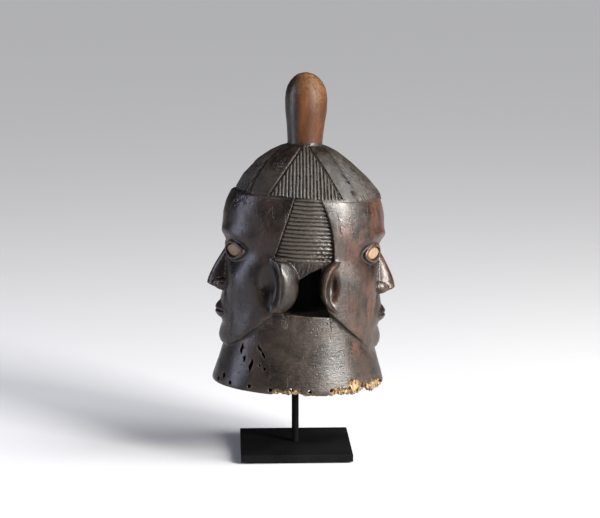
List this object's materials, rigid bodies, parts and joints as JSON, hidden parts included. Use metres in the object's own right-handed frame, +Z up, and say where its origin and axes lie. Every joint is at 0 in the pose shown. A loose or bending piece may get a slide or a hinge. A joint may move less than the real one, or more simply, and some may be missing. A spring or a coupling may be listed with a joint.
{
  "type": "carved wooden mask",
  "caption": "Carved wooden helmet mask with a face on each side, a hatched cap and a tall knob, held on a steel rod stand by a padded swivelling armature.",
  "frame": {"origin": "centre of the stand's foot pad, on the table, on the axis of the rod", "axes": "+Z up along the rod; +X towards one face of the mask, -X towards the other; -Y towards the viewer of the mask's side"},
  "size_m": [0.2544, 0.21, 0.5179],
  "materials": {
    "patinated_wood": "dark brown-black patina, satin, worn red-brown on the high spots",
    "pale_inlay": "pale tan, matt, flat inlay",
    "painted_wood": "turned softwood block painted matt black",
    "black_steel": "black, semi-gloss",
    "bare_steel": "bare turned steel",
    "brass": "brazing rod and turned brass, dull",
    "black_felt": "black wool felt",
    "nylon": "natural nylon"
  },
  "bodies": {
    "stand": {"base_foot_pad": "black_felt", "base_plate": "black_steel", "base_screw": "bare_steel", "stand_rod": "black_steel"},
    "armature": {"socket_tube": "bare_steel", "thrust_disc": "nylon", "crown_block": "painted_wood", "crown_felt": "black_felt", "spreader_hub": "brass", "hub_grub_screw": "bare_steel", "spreader_arm_1": "brass", "spreader_arm_2": "brass", "spreader_arm_3": "brass", "spreader_arm_4": "brass", "arm_pad_1": "black_felt", "arm_pad_2": "black_felt", "arm_pad_3": "black_felt", "arm_pad_4": "black_felt"},
    "mask": {"helmet_mask": "patinated_wood", "right_face_eye_inlay_a": "pale_inlay", "right_face_eye_inlay_b": "pale_inlay", "left_face_eye_inlay_a": "pale_inlay", "left_face_eye_inlay_b": "pale_inlay"}
  },
  "joints": [
    {"name": "armature_swivel", "type": "hinge", "parent": "stand", "child": "armature", "pos_m": [0, 0, 0.298], "axis": [0, 0, 1], "continuous": true},
    {"name": "mask_lift", "type": "slide", "parent": "armature", "child": "mask", "axis": [0, 0, 1], "range_m": [0, 0.32]}
  ]
}
